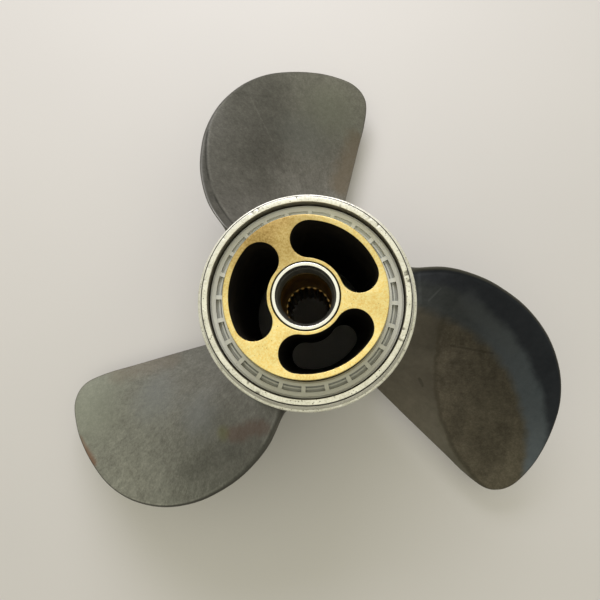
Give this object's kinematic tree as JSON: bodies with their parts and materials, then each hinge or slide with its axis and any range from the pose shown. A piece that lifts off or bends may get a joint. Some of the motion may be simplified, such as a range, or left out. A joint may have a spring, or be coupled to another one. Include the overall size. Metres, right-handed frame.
{
  "type": "boat propeller",
  "caption": "Right-hand outboard propeller with broad ear-shaped blades, a through-exhaust barrel and a bronze inner hub on a rubber-cushioned drive.",
  "frame": {"origin": "on the shaft axis, in the plane of the barrel's aft end, on which the propeller stands", "axes": "+Z along the shaft axis towards the bow, up as it stands; +Y along blade 1; +X completes a right-handed set"},
  "size_m": [0.3319, 0.319, 0.1664],
  "materials": {
    "machined_stainless": "machined rim, cast and polished side",
    "cast_stainless": "hand-polished casting, dulled by use",
    "grey_polymer": "moulded, satin",
    "bronze": "machined bronze, speckled",
    "bright_steel": "polished steel",
    "spline_brass": "broached, worn",
    "spring_steel": "oiled spring steel",
    "dark_seal": "matt",
    "black_rubber": "matt"
  },
  "bodies": {
    "barrel": {"hub_barrel": "machined_stainless", "blade_1": "cast_stainless", "blade_2": "cast_stainless", "blade_3": "cast_stainless", "front_guide_ring": "grey_polymer", "aft_guide_ring": "grey_polymer", "aft_circlip": "spring_steel", "drive_key_1": "spring_steel", "forward_buffer_1": "black_rubber", "reverse_buffer_1": "black_rubber", "drive_key_2": "spring_steel", "forward_buffer_2": "black_rubber", "reverse_buffer_2": "black_rubber", "drive_key_3": "spring_steel", "forward_buffer_3": "black_rubber", "reverse_buffer_3": "black_rubber"},
    "core": {"hub_core": "bronze", "bore_sleeve": "bright_steel", "seal_ring": "dark_seal", "spline_bush": "spline_brass", "bush_circlip": "spring_steel"}
  },
  "joints": [
    {"name": "hub_twist", "type": "hinge", "parent": "barrel", "child": "core", "pos_m": [0, 0, 0.1], "axis": [0, 0, 1], "range_deg": [-4, 4], "stiffness_Nm_per_rad": 40}
  ]
}
